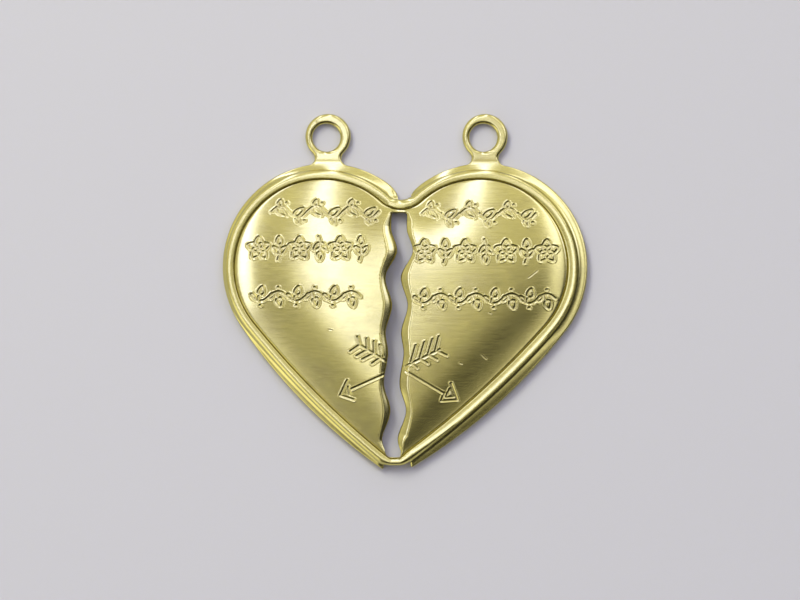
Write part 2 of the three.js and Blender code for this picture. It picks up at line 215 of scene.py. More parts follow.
def bead_line(half, offset, tip_y):
    """The groove, or the bead's outer foot when offset is the bead's width."""
    side = half["side"]
    lobe, flank, turn = heart_arcs(LOBE_RADIUS, FLANK_RADIUS, half["flank_angle"])
    cleft = np.array((0, cleft_y))
    cleft_radius = CLEFT_RADIUS - offset
    meet = math.atan2(cleft_y - LOBE_Y, -LOBE_SPAN / 2)
    down = -math.pi / 2

    def cleft_angle(x):
        return down + math.asin(side * (x - HEART_AXIS_X) / cleft_radius)

    root, notch = cleft_angle(half["cleft_root_x"]), cleft_angle(half["cleft_notch_x"])
    end = down + CLEFT_SHARE * (meet - math.pi - down)
    theta, _ = groove_end(half)
    flank_line = arc(flank, FLANK_RADIUS + offset, turn, theta)
    leave = flank_line[-1]
    root_u = side * (half["tip_root_x"] - HEART_AXIS_X)
    fall = (leave[1] - tip_y) / math.cos(theta)
    corner = (max(leave[0] + fall * math.sin(theta), root_u), tip_y)
    tip = bezier(leave, corner, (root_u, tip_y), 400)
    lobe_line = chain(
        arc(cleft, cleft_radius, end, meet - math.pi, 100),
        arc(lobe, LOBE_RADIUS + offset, meet, turn, FINE_STEPS),
    )
    line = chain(
        along(arc(cleft, cleft_radius, root, notch), STEPS["cleft_strip"]),
        along(arc(cleft, cleft_radius, notch, end), STEPS["cleft_end"]),
        along(lobe_line, STEPS["lobe"]),
        along(flank_line, STEPS["flank"]),
        along(tip, STEPS["tip_end"], 0, half["tip_notch"]),
        along(tip, STEPS["tip_strip"], half["tip_notch"], 1),
    )
    line[:, 0] = HEART_AXIS_X + side * line[:, 0]
    line[0, 0], line[-1, 0] = half["cleft_root_x"], half["tip_root_x"]
    return line


def trim_line(half, foot):
    """The trimmed edge, which follows the bead's foot at the notches of both webs."""
    side = half["side"]
    lobe, flank, turn = heart_arcs(
        TRIM_LOBE_RADIUS, TRIM_FLANK_RADIUS, half["trim_flank_angle"]
    )
    inner = np.stack((side * (foot[:, 0] - TRIM_AXIS_X), foot[:, 1]), axis=1)
    start, stop = inner[STEPS["cleft_strip"]], inner[-1 - STEPS["tip_strip"]]
    cleft_turn = math.radians(TRIM_CLEFT_ANGLE)
    lobe_line = arc(lobe, TRIM_LOBE_RADIUS, cleft_turn, turn, FINE_STEPS)
    slope = math.tan(math.radians(TRIM_CLEFT_ANGLE - 90))
    corner = (start[0], lobe_line[0, 1] - (lobe_line[0, 0] - start[0]) * slope)
    theta = flank_angle_at(flank, TRIM_FLANK_RADIUS, stop[0] + TRIM_CORNER)
    flank_line = arc(flank, TRIM_FLANK_RADIUS, turn, theta)
    tip_corner = (stop[0], flank_line[-1, 1] + TRIM_CORNER / math.tan(theta))
    line = chain(
        inner[: STEPS["cleft_strip"] + 1],
        along(bezier(start, corner, lobe_line[0]), STEPS["cleft_end"]),
        along(lobe_line, STEPS["lobe"]),
        along(flank_line, STEPS["flank"]),
        along(bezier(flank_line[-1], tip_corner, stop), STEPS["tip_end"]),
        inner[-1 - STEPS["tip_strip"] :],
    )
    line[:, 0] = TRIM_AXIS_X + side * line[:, 0]
    return line


def slot_line(half, set_back=0.0, wave_share=1.0):
    """The edge along the slot, or a line set back from it with a weaker wave."""
    side = half["side"]
    mean = sum(x for x, _ in SLOT_WAVE) / len(SLOT_WAVE)
    offset = side * (SLOT_WIDTH / 2 + set_back)
    top_y, tip_y = slot_top_y, slot_tip_y
    wave = spline(
        [
            (mean + wave_share * (x - mean) + offset, top_y + share * (tip_y - top_y))
            for x, share in SLOT_WAVE
        ]
    )
    top = chain(
        np.array(((half["cleft_root_x"], top_y), (wave[0, 0] - side * SLOT_CORNER, top_y))),
        bezier((wave[0, 0] - side * SLOT_CORNER, top_y), (wave[0, 0], top_y), wave[0]),
    )
    tip = bezier(wave[-1], (wave[-1, 0], tip_y), (half["tip_root_x"], tip_y))
    line = chain(
        along(top, STEPS["cleft_strip"] + STEPS["cleft_end"]),
        along(wave, STEPS["lobe"], 0, LOBE_SHARE),
        along(wave, STEPS["flank"], LOBE_SHARE, 1),
        along(tip, STEPS["tip_end"] + STEPS["tip_strip"]),
    )
    line[0, 0], line[-1, 0] = half["cleft_root_x"], half["tip_root_x"]
    return line


for half in HALVES.values():
    half["groove"] = bead_line(half, 0, tip_groove_y)
    half["foot"] = bead_line(half, BEAD_WIDTH, tip_groove_y - TIP_BEAD_WIDTH)
    half["trim"] = trim_line(half, half["foot"])
    half["slot"] = slot_line(half)

# Stamped ornament
# Punches press three rows of leaves, flowers and buds into each half, and the two halves of
# a pair of crossed arrows below them. Here are the strokes of the punches, seen from above.
PUNCH_DEPTH = 0.05
PUNCH_HALF_WIDTH = 0.1
PUNCH_LIP = 0.3
LIP_PLACE = 1.55
LIP_SHARPNESS = 2.4
# Each row: its motif, where it starts, its pitch, how many, and whether every second one
# is turned over
ROWS = {
    "left": (
        ("leafy_vine", -10.85, 6.48, 1.45, 6, True),
        ("flower", -11.9, 3.5, 3.32, 3, False),
        ("sprig", -10.24, 3.5, 3.32, 3, True),
        ("bud_vine", -12.5, -0.41, 1.48, 6, True),
    ),
    "right": (
        ("leafy_vine", 1.4, 6.32, 1.56, 6, True),
        ("flower", 1.6, 3.26, 3.32, 4, False),
        ("sprig", 3.26, 3.26, 3.32, 3, True),
        ("bud_vine", 0.75, -0.61, 1.44, 8, True),
    ),
}
ARROWS = {
    "left": (
        ((-3.68, -4.37), (-1.55, -5.67)),
        ((-3.86, -3.71), (-3.68, -4.37), (-4.43, -4.88)),
        ((-3.11, -3.86), (-3.06, -4.77), (-3.91, -5.26)),
        ((-2.51, -4.08), (-2.49, -5.05), (-3.44, -5.54)),
        ((-2.04, -4.36), (-1.87, -5.34), (-2.65, -5.87)),
        ((-1.69, -6.76), (-4.38, -7.97)),
        ((-4.7, -7.27), (-5.25, -8.46), (-4.16, -8.83)),
        ((-4.61, -7.79), (-4.48, -8.4)),
    ),
    "right": (
        ((0.02, -6.12), (2.85, -4.73)),
        ((0.51, -5.74), (0.9, -4.4)),
        ((1.24, -5.4), (1.61, -4.15)),
        ((1.92, -5.06), (2.27, -3.9)),
        ((2.5, -4.78), (2.78, -3.69)),
        ((0.55, -5.86), (1.0, -6.22)),
        ((1.26, -5.5), (1.85, -5.87)),
        ((1.94, -5.17), (2.62, -5.56)),
        ((2.62, -4.84), (3.4, -5.22)),
        ((0.05, -6.48), (3.14, -8.31)),
        ((3.75, -7.5), (4.24, -8.83), (2.98, -8.91), (3.2, -8.3)),
        ((3.67, -7.95), (3.34, -8.62), (3.97, -8.56), (3.67, -7.95)),
    ),
}
# Scratches of wear, far shallower than the punches' strokes
SCRATCH_DEPTH = 0.015
SCRATCH_HALF_WIDTH = 0.05
SCRATCH_LIP = 0.5
SCRATCHES = {
    "left": (
        ((-6.2, -3.1), (-5.9, -3.16)),
        ((-7.22, 13.9), (-7.04, 13.5)),
    ),
    "right": (
        ((10.03, 1.1), (10.76, 1.67)),
        ((6.28, -5.18), (6.6, -5.5)),
        ((4.48, -5.83), (4.62, -5.9)),
        ((6.9, -1.75), (7.02, -1.8)),
    ),
}


PETAL_STEPS = 16
PETAL_TAPER = 0.4
DOT_REACH = 0.02


def curl(*corners):
    """Points of a smooth stroke through a few corners."""
    return spline(corners, 8)


def petal(root, angle, length, width):
    """Outline of a leaf or petal that springs from its root at an angle in degrees."""
    turn = np.linspace(0, 2 * math.pi, PETAL_STEPS + 1)
    out = length * (1 - np.cos(turn)) / 2
    side = width / 2 * np.sin(turn) * (1 + PETAL_TAPER * np.cos(turn))
    heading = math.radians(angle)
    x = root[0] + out * math.cos(heading) - side * math.sin(heading)
    y = root[1] + out * math.sin(heading) + side * math.cos(heading)
    return np.stack((x, y), axis=1)


def dot(x, y):
    """A stroke so short that it presses a round dot."""
    return np.array(((x - DOT_REACH, y), (x + DOT_REACH, y)))


MOTIFS = {
    "leafy_vine": (
        curl((0, 0), (0.4, 0.34), (0.75, 0.46), (1.1, 0.34), (1.45, 0)),
        petal((0.42, 0.3), -38, 0.95, 0.42),
        petal((0.62, 0.48), 72, 0.5, 0.3),
        dot(1.22, 0.72),
    ),
    "flower": (
        *(petal((0, 0), 90 + 72 * k, 0.95, 0.66) for k in range(5)),
        dot(0, 0),
    ),
    "sprig": (
        curl((-0.1, -0.95), (0.04, -0.45), (0.02, 0.05), (0, 0.3)),
        petal((0, 0.3), 90, 0.66, 0.4),
        petal((0.04, -0.4), 46, 0.74, 0.34),
        petal((0.04, -0.4), 134, 0.74, 0.34),
    ),
    "bud_vine": (
        curl((0, 0), (0.36, -0.28), (0.72, -0.38), (1.08, -0.28), (1.44, 0)),
        curl((0.5, -0.34), (0.6, 0.0), (0.74, 0.14)),
        petal((0.76, 0.12), 78, 0.7, 0.46),
        petal((0.3, -0.2), 128, 0.5, 0.26),
        dot(0.72, -0.74),
    ),
}


def placed(name, data):
    """A new object in the scene that shows some data."""
    made = bpy.data.objects.new(name, data)
    bpy.context.scene.collection.objects.link(made)
    return made


def stroke_object(name, strokes):
    """An object made of bare strokes, flat in the plan."""
    points, edges = [], []
    for stroke in strokes:
        edges += [(len(points) + k, len(points) + k + 1) for k in range(len(stroke) - 1)]
        points += [(x * MM, y * MM, 0) for x, y in stroke]
    mesh = bpy.data.meshes.new(name)
    mesh.from_pydata(points, edges, [])
    return placed(name, mesh)


def press_tree(name, sockets):
    """An empty geometry tree with a geometry and named inputs, and one geometry output."""
    tree = bpy.data.node_groups.new(name, "GeometryNodeTree")
    tree.interface.new_socket("Geometry", in_out="INPUT", socket_type="NodeSocketGeometry")
    for label, kind in sockets.items():
        tree.interface.new_socket(label, in_out="INPUT", socket_type=f"NodeSocket{kind}")
    tree.interface.new_socket("Geometry", in_out="OUTPUT", socket_type="NodeSocketGeometry")
    given = tree.nodes.new("NodeGroupInput").outputs
    made = tree.nodes.new("NodeGroupOutput").inputs
    return tree, given, made


def reckon(tree, operation, *values, clamp=False):
    """A Math node on sockets or numbers, and its result."""
    node = tree.nodes.new("ShaderNodeMath")
    node.operation = operation
    node.use_clamp = clamp
    for socket, value in zip(node.inputs, values):
        if isinstance(value, bpy.types.NodeSocket):
            tree.links.new(value, socket)
        else:
            socket.default_value = value
    return node.outputs[0]


def bell(tree, away, power):
    """A patch that is 1 in its middle and fades past a distance of 1, fast for a high power."""
    grown = reckon(tree, "POWER", away, power)
    return reckon(tree, "EXPONENT", reckon(tree, "MULTIPLY", grown, -1))


def join(tree, *pairs):
    """Joins sockets of a tree's nodes, each pair an output and an input."""
    for source, target in pairs:
        tree.links.new(source, target)


def press(piece, tree, **values):
    """Runs a geometry tree on an object with the given inputs, and keeps the plain result."""
    modifier = piece.modifiers.new(tree.name, "NODES")
    modifier.node_group = tree
    for item in tree.interface.items_tree:
        if item.in_out == "INPUT" and item.name in values:
            modifier[item.identifier] = values[item.name]
    depsgraph = bpy.context.evaluated_depsgraph_get()
    mesh = bpy.data.meshes.new_from_object(piece.evaluated_get(depsgraph))
    piece.modifiers.remove(modifier)
    mesh.name = piece.name
    piece.data = mesh


# One motif at equal steps along a row, where every second one may be turned over
garland, given, made = press_tree(
    "garland",
    {"Motif": "Object", "Count": "Int", "Pitch": "Float", "Start": "Vector", "Turn Over": "Bool"},
)
step = garland.nodes.new("ShaderNodeCombineXYZ")
row = garland.nodes.new("GeometryNodeMeshLine")
motif = garland.nodes.new("GeometryNodeObjectInfo")
number = garland.nodes.new("GeometryNodeInputIndex")
size = garland.nodes.new("ShaderNodeCombineXYZ")
place = garland.nodes.new("GeometryNodeInstanceOnPoints")
real = garland.nodes.new("GeometryNodeRealizeInstances")
odd = reckon(garland, "MODULO", number.outputs["Index"], 2)
flip = reckon(garland, "MULTIPLY", reckon(garland, "MULTIPLY", odd, given["Turn Over"]), -2)
size.inputs["X"].default_value = 1
size.inputs["Z"].default_value = 1
join(
    garland,
    (given["Pitch"], step.inputs["X"]),
    (given["Count"], row.inputs["Count"]),
    (given["Start"], row.inputs["Start Location"]),
    (step.outputs[0], row.inputs["Offset"]),
    (given["Motif"], motif.inputs["Object"]),
    (reckon(garland, "ADD", flip, 1), size.inputs["Y"]),
    (row.outputs["Mesh"], place.inputs["Points"]),
    (motif.outputs["Geometry"], place.inputs["Instance"]),
    (size.outputs[0], place.inputs["Scale"]),
    (place.outputs["Instances"], real.inputs["Geometry"]),
    (real.outputs["Geometry"], made["Geometry"]),
)

# Pressing strokes into a face: a flat floor, steep sides and a small lip pushed up round it
punch, given, made = press_tree(
    "punch", {"Strokes": "Object", "Depth": "Float", "Half Width": "Float", "Lip": "Float"}
)
strokes = punch.nodes.new("GeometryNodeObjectInfo")
here = punch.nodes.new("GeometryNodeInputPosition")
flat = punch.nodes.new("ShaderNodeVectorMath")
flat.operation = "MULTIPLY"
flat.inputs[1].default_value = (1, 1, 0)
nearest = punch.nodes.new("GeometryNodeProximity")
nearest.target_element = "EDGES"
front_side = punch.nodes.new("GeometryNodeInputNamedAttribute")
front_side.inputs["Name"].default_value = "front"
move = punch.nodes.new("ShaderNodeCombineXYZ")
shift = punch.nodes.new("GeometryNodeSetPosition")
keep = punch.nodes.new("GeometryNodeStoreNamedAttribute")
keep.data_type = "FLOAT"
keep.domain = "POINT"
keep.inputs["Name"].default_value = "stamped"
away = reckon(punch, "DIVIDE", nearest.outputs["Distance"], given["Half Width"])
floor_share = bell(punch, away, 3)
lip_place = reckon(punch, "SUBTRACT", away, LIP_PLACE)
lip_place = reckon(punch, "MULTIPLY", lip_place, LIP_SHARPNESS)
lip = reckon(punch, "MULTIPLY", bell(punch, lip_place, 2), given["Lip"])
relief = reckon(punch, "SUBTRACT", lip, floor_share)
relief = reckon(punch, "MULTIPLY", relief, given["Depth"])
relief = reckon(punch, "MULTIPLY", relief, front_side.outputs["Attribute"])
before = punch.nodes.new("GeometryNodeInputNamedAttribute")
before.inputs["Name"].default_value = "stamped"
mark = reckon(punch, "MAXIMUM", floor_share, before.outputs["Attribute"])
join(
    punch,
    (given["Strokes"], strokes.inputs["Object"]),
    (strokes.outputs["Geometry"], nearest.inputs["Geometry"]),
    (here.outputs["Position"], flat.inputs[0]),
    (flat.outputs[0], nearest.inputs["Sample Position"]),
    (relief, move.inputs["Z"]),
    (given["Geometry"], shift.inputs["Geometry"]),
    (move.outputs[0], shift.inputs["Offset"]),
    (shift.outputs["Geometry"], keep.inputs["Geometry"]),
    (mark, keep.inputs["Value"]),
    (keep.outputs["Geometry"], made["Geometry"]),
)

for name, half in HALVES.items():
    half["scratches"] = [np.array(scratch) for scratch in SCRATCHES[name]]
    strokes = [np.array(stroke) for stroke in ARROWS[name]]
    for motif, x, y, pitch, count, turn_over in ROWS[name]:
        motif_object = stroke_object(motif, MOTIFS[motif])
        row = stroke_object("row", ())
        press(
            row,
            garland,
            Motif=motif_object,
            Count=count,
            Pitch=pitch * MM,
            Start=(x * MM, y * MM, 0),
            **{"Turn Over": turn_over},
        )
        points = np.array([corner.co for corner in row.data.vertices])[:, :2] / MM
        strokes += [points[list(edge.vertices)] for edge in row.data.edges]
        for used in (motif_object, row):
            bpy.data.objects.remove(used)
    half["strokes"] = strokes

# Left and right half
# Each half is pressed in one go with its hanging loop: a flat flange, a raised bead, a domed
# field and an edge turned down along the slot. The coined loop stands on a short neck.

# Heights of the relief
SHEET = 0.6
FLANGE_RISE = 0.2
BEAD_HEIGHT = 0.24
GROOVE_RISE = 0.06
CROWN = 0.72
CROWN_REACH = 5.06
CROWN_POWER = 1.6
FIELD_LIP = 0.09
FIELD_LIP_WIDTH = 0.05
FOOT_Z = SHEET + FLANGE_RISE
GROOVE_Z = FOOT_Z + GROOVE_RISE
# From the narrowest to the widest flange: the share of the bead's width at which its crest
# lies, and the slope of the flange
FLANGE_RANGE = (0.5, 0.82)
BEAD_CREST = (0.45, 0.17)
FLANGE_SLOPE = (0.23, 0.13)
FLANGE_DISH = 0.4
FOOT_FILLET = 0.3
BEAD_ROUND = 3.3
TRENCH_SHARE = 0.052
RUB_SHARE = 0.3
# The sheared edge, and how the flange runs out into the webs' notches
EDGE_ROUND = 0.1
LAND_WIDTH = 0.26
LAND_MARGIN = 0.1
LEAST_FLANGE = 0.08
NOTCH_RUNOUT = 0.35
NARROW_SHARE = 0.45
# The edge that turns down along the slot
ROLL_WIDTH = 0.55
ROLL_LIMITS = (0.35, 0.85)
ROLL_DROP = 0.3
ROLL_CHAMFER = 0.4
BEND_WAVE = 0.55
LIP = 0.5
# The loop, its pierced hole and its neck
LOOP_RISE = 2.2
LOOP_RADIUS = 1.85
LOOP_HOLE_RADIUS = 1.14
LOOP_ROUND = 0.27
HOLE_SHIFT_X = -0.14
HOLE_DROP = 0.09
NECK_WIDTH = 2.2
NECK_FLARE = 0.45
THROAT_ANGLE = 45
NECK_BLEND = 0.6
CREASE_DEPTH = 0.014
CREASE_WIDTH = 0.13
CREASE_RISE = 0.15
# How fine the mesh is
FIELD_GRAIN = 0.09
STROKE_GRAIN = 0.043
STROKE_REACH = 0.27
STROKE_STEPS = 20
LOOP_GRAIN = 0.055
LOBE_GAP = 0.015
BACK_GRAIN = 0.35
BACK_STEP = 3
NECK_STEPS = 36
RING_STEPS = 160
HOLE_STEPS = 150
RING_CLEARANCE = 0.6
HOLE_SLACK = 0.995
PLACE_DIGITS = 4
BATCH = 4000
BEAD_SHARES = np.array((
    0, 0.03, 0.07, 0.11, 0.16, 0.22, 0.3, 0.4, 0.5,
    0.6, 0.7, 0.79, 0.85, 0.89, 0.92, 0.945, 0.97, 1,
))
STRIP_SHARES = np.array((0, 0.1, 0.25, 0.45, 0.7, 0.9, 1))
ROLL_SHARES = np.array((0, 0.03, 0.1, 0.2, 0.35, 0.55, 0.78, 1))
BACK_SHARES = (0, 0.25, 0.5, 0.75, 1)
GROOVE_STEPS = (0.03, 0.065, 0.11)
LOOP_EDGE_STEPS = np.array((0.015, 0.05, 0.1, 0.16, 0.22, 0.28))
# Steps in from the flange's two edges, each with the most that it may be of a narrow flange
EDGE_STEPS = ((0.02, 0.05), (0.06, 0.14), (0.11, 0.26), (0.18, 0.4))
FOOT_STEPS = (
    (0.27, 0.6), (0.2, 0.48), (0.14, 0.34), (0.09, 0.22), (0.045, 0.12), (0.015, 0.04),
)
# Wear and painted shade: how far the free edges are rubbed bright, and how far the painted shade
# and grime reach out of the groove
RUBBED_EDGE = 0.16
SHADE_AND_GRIME_REACH = 0.07
SHARP_ANGLE = math.radians(42)
# How much the brushing's lines shift with height, so that walls have them too
GRAIN_LEAN = 0.2

groove_loop = np.vstack(
    (HALVES["left"]["groove"][::-BACK_STEP], HALVES["right"]["groove"][::BACK_STEP])
)
plan_shift = np.array(
    (
        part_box("top_web")[0].x / MM - HALVES["left"]["cleft_root_x"],
        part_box("top_web")[0].y / MM - slot_top_y,
        0,
    )
)


def pillow_depth(points):
    """How deep each point lies inside the groove: its distance from it near by, and a
    smooth round pillow further in, from the inverse squares of all the distances."""
    start, stop = groove_loop, np.roll(groove_loop, -1, axis=0)
    length = lengths(stop - start)
    depth = np.empty(len(points))
    for first in range(0, len(points), BATCH):
        here = points[first : first + BATCH, None]
        a, b = start - here, stop - here
        cross = np.abs(a[..., 0] * b[..., 1] - a[..., 1] * b[..., 0])
        turn = np.arctan2(cross, (a * b).sum(-1))
        pull = (turn * length / np.maximum(cross, 1e-9)).sum(1)
        depth[first : first + BATCH] = math.pi / pull
    return depth


def field(points):
    """Height of the domed field, which starts with a small lip at the groove, and the painted
    shade and grime that darken it beside the groove.
    """
    depth = pillow_depth(points)
    dome = 1 - (1 - np.minimum(depth / CROWN_REACH, 1)) ** CROWN_POWER
    lip = 1 - np.exp(-depth / FIELD_LIP_WIDTH)
    height = GROOVE_Z + (CROWN - FIELD_LIP) * dome + FIELD_LIP * lip
    return height, np.exp(-depth / SHADE_AND_GRIME_REACH)


def bead(share, flange):
    """Height, rub, and painted shade and grime of the bead at a share of the way from its foot
    to the groove, beside a flange of the given width. Its round inner side ends steeply in the
    groove, where the trench also darkens it with painted shade and grime, and its crest lies
    further out where the flange is wide."""
    crest = np.interp(flange, FLANGE_RANGE, BEAD_CREST)

    def fall(part):
        return (np.maximum(part - crest, 0) * BEAD_WIDTH) ** 2 / (2 * BEAD_ROUND)

    top = BEAD_HEIGHT + GROOVE_RISE * crest
    outer = np.sin(math.pi / 2 * np.minimum(share / crest, 1))
    trench = np.exp(-(((1 - share) / TRENCH_SHARE) ** 2))
    height = top * outer - fall(share) - (top - fall(1) - GROOVE_RISE) * trench
    rub = np.exp(-(((share - crest) / RUB_SHARE) ** 2))
    return FOOT_Z + height, rub, trench


def rounding(distance, radius):
    """Drop of a rounded edge at a distance from it."""
    radius = np.maximum(radius, 1e-6)
    share = 1 - np.clip(distance / radius, 0, 1)
    return radius * (1 - np.sqrt(np.maximum(1 - share**2, 0)))


def line_distance(points, line):
    """Distance of each point from a line of straight stretches."""
    start, run = line[:-1], np.diff(line, axis=0)
    size = np.maximum((run**2).sum(1), 1e-12)
    distance = np.empty(len(points))
    for first in range(0, len(points), BATCH):
        here = points[first : first + BATCH, None] - start
        share = np.clip((here * run).sum(-1) / size, 0, 1)[..., None]
        gap = here - share * run
        distance[first : first + BATCH] = np.sqrt((gap**2).sum(-1).min(1))
    return distance


def normals(line, side):
    """Unit normals of a line, to its left for side 1 and to its right for side -1."""
    run = np.gradient(line, axis=0)
    normal = np.stack((-run[:, 1], run[:, 0]), axis=1)
    return side * normal / lengths(normal)[:, None]


def near(points, marks, reach):
    """Whether each point lies about within reach of one of the marks, by cells of a grid."""
    most = 3
    cell = reach / most
    corner = np.minimum(points.min(0), marks.min(0)) - 2 * reach
    count = np.ceil((np.maximum(points.max(0), marks.max(0)) + 2 * reach - corner) / cell)
    marked = np.zeros(count.astype(int), bool)
    spots = ((marks - corner) / cell).astype(int)
    for i in range(-most, most + 1):
        for j in range(-most, most + 1):
            if i * i + j * j <= most**2:
                marked[spots[:, 0] + i, spots[:, 1] + j] = True
    at = ((points - corner) / cell).astype(int)
    return marked[at[:, 0], at[:, 1]]


def lattice(ring, grain):
    """Points of an even triangular lattice inside a closed ring, clear of its line."""
    rows = []
    start, stop = ring, np.roll(ring, -1, axis=0)
    step = grain * math.sqrt(3) / 2
    low, high = ring[:, 1].min(), ring[:, 1].max()
    for number, y in enumerate(np.arange(low + step / 2, high, step)):
        across = (start[:, 1] > y) != (stop[:, 1] > y)
        a, b = start[across], stop[across]
        cuts = np.sort(a[:, 0] + (y - a[:, 1]) / (b[:, 1] - a[:, 1]) * (b[:, 0] - a[:, 0]))
        shift = grain / 2 * (number % 2)
        for left, right in zip(cuts[::2], cuts[1::2]):
            first = math.ceil((left - shift) / grain) * grain + shift
            row = np.arange(first, right, grain)
            rows.append(np.stack((row, np.full(len(row), y)), axis=1))
    points = np.vstack(rows)
    return points[~near(points, ring, RING_CLEARANCE * grain)]


class Face:
    """Points of a piece's front or back, each with its height, how rubbed it is and how much
    painted shade and grime it has. Equal places are one point."""

    def __init__(self):
        self.places = {}
        self.corners = []

    def add(self, points, heights, rub=0, grime=0):
        """Adds points, and gives the number of each."""
        rows = np.zeros((len(points), 5))
        rows[:, :2] = points
        rows[:, 2], rows[:, 3], rows[:, 4] = heights, rub, grime
        numbers = []
        for row in rows:
            key = (round(row[0], PLACE_DIGITS), round(row[1], PLACE_DIGITS))
            if key not in self.places:
                self.places[key] = len(self.corners)
                self.corners.append(row)
            numbers.append(self.places[key])
        return numbers

    def triangles(self, ring, lines=(), hole=None):
        """Triangles between all points inside the ring, which keep to the lines."""
        edges = [pair for line in lines for pair in zip(line, line[1:]) if pair[0] != pair[1]]
        flat = [Vector(corner[:2]) for corner in self.corners]
        inside_only = 1
        flat, _, faces, sources, _, _ = delaunay_2d_cdt(flat, edges, [ring], inside_only, 1e-9)
        own = [source[0] if source else None for source in sources]
        if None in own:
            raise ValueError("two lines of the plan cross")
        faces = np.array([[own[k] for k in face] for face in faces])
        if hole is not None:
            center, radius = hole
            middles = np.array(self.corners)[faces][..., :2].mean(1)
            faces = faces[lengths(middles - center) > radius * HOLE_SLACK]
        return faces


def loop_outline(half):
    """Outline of the neck and the ring, the numbers of the rim points at its two feet,
    the height of the trimmed lobe under it and the middle of its pierced hole."""
    side = half["side"]
    lean = side * half["loop_shift"]

    def lobe_top(v):
        return LOBE_Y + math.sqrt(TRIM_LOBE_RADIUS**2 - (lean + v) ** 2)

    edge = lobe_top(0)
    neck = NECK_WIDTH / 2
    base = neck + NECK_FLARE
    middle_y = edge + LOOP_RISE
    throat = math.radians(THROAT_ANGLE)
    ring_x = LOOP_RADIUS * math.sin(throat)
    ring_y = middle_y - LOOP_RADIUS * math.cos(throat)
    bend = (ring_x - neck) / math.cos(throat)
    throat_y = ring_y - bend * math.sin(throat)

    def neck_edge(hand):
        waist = (hand * neck, throat_y - bend)
        flare = bezier((hand * base, lobe_top(hand * base)), (hand * neck, edge), waist)
        throat_bend = bezier(waist, (hand * neck, throat_y), (hand * ring_x, ring_y))
        return along(chain(flare, throat_bend), NECK_STEPS)

    ring = arc((0, middle_y), LOOP_RADIUS, 1.5 * math.pi - throat, throat - math.pi / 2)
    outline = chain(neck_edge(-1), along(ring, RING_STEPS), neck_edge(1)[::-1])
    middle_x = TRIM_AXIS_X + side * LOBE_SPAN / 2 + half["loop_shift"]
    outline[:, 0] = middle_x + side * outline[:, 0]
    out = side * (half["trim"][:, 0] - middle_x)
    on_lobe = half["trim"][:, 1] > LOBE_Y
    first = np.flatnonzero(on_lobe & (out < -base))[-1]
    last = np.flatnonzero(on_lobe & (out > base))[0]
    hole_middle = np.array((middle_x + HOLE_SHIFT_X, middle_y - HOLE_DROP))
    return outline, first, last, edge, hole_middle


def bend_line(half):
    """The line where the field starts to turn down to the slot, and its width and drop."""
    side = half["side"]
    slot = half["slot"]
    weak = slot_line(half, ROLL_WIDTH, BEND_WAVE)
    room = line_distance(slot, half["groove"]) * NARROW_SHARE
    width = np.minimum(np.clip(side * (weak[:, 0] - slot[:, 0]), *ROLL_LIMITS), room)
    return slot + width[:, None] * normals(slot, side), width, ROLL_DROP * width / ROLL_WIDTH


def roll_profile(share):
    """How far the edge has turned down, from 0 at its bend to 1 at the slot."""
    away = 1 - share
    return ROLL_CHAMFER * away + (1 - ROLL_CHAMFER) * (1 - np.sqrt(1 - away**2))


def end_section(foot, groove, slot, roll, drop):
    """The stamping's cross-section where a half meets a web: points, height, rub, painted
    shade and grime.
    """
    points = groove + (slot - groove) * STRIP_SHARES[1:, None]
    width = np.linalg.norm(slot - groove)
    share = np.clip((1 - STRIP_SHARES[1:]) * width / roll, 0, 1)
    height, grime = field(points)
    height = height - drop * roll_profile(share)
    bead_height, rub, bead_shade_and_grime = bead(BEAD_SHARES, 0)
    return (
        np.vstack((foot + (groove - foot) * BEAD_SHARES[:, None], points)),
        np.r_[bead_height, height],
        np.r_[rub, np.zeros(len(grime))],
        np.r_[bead_shade_and_grime, grime],
    )


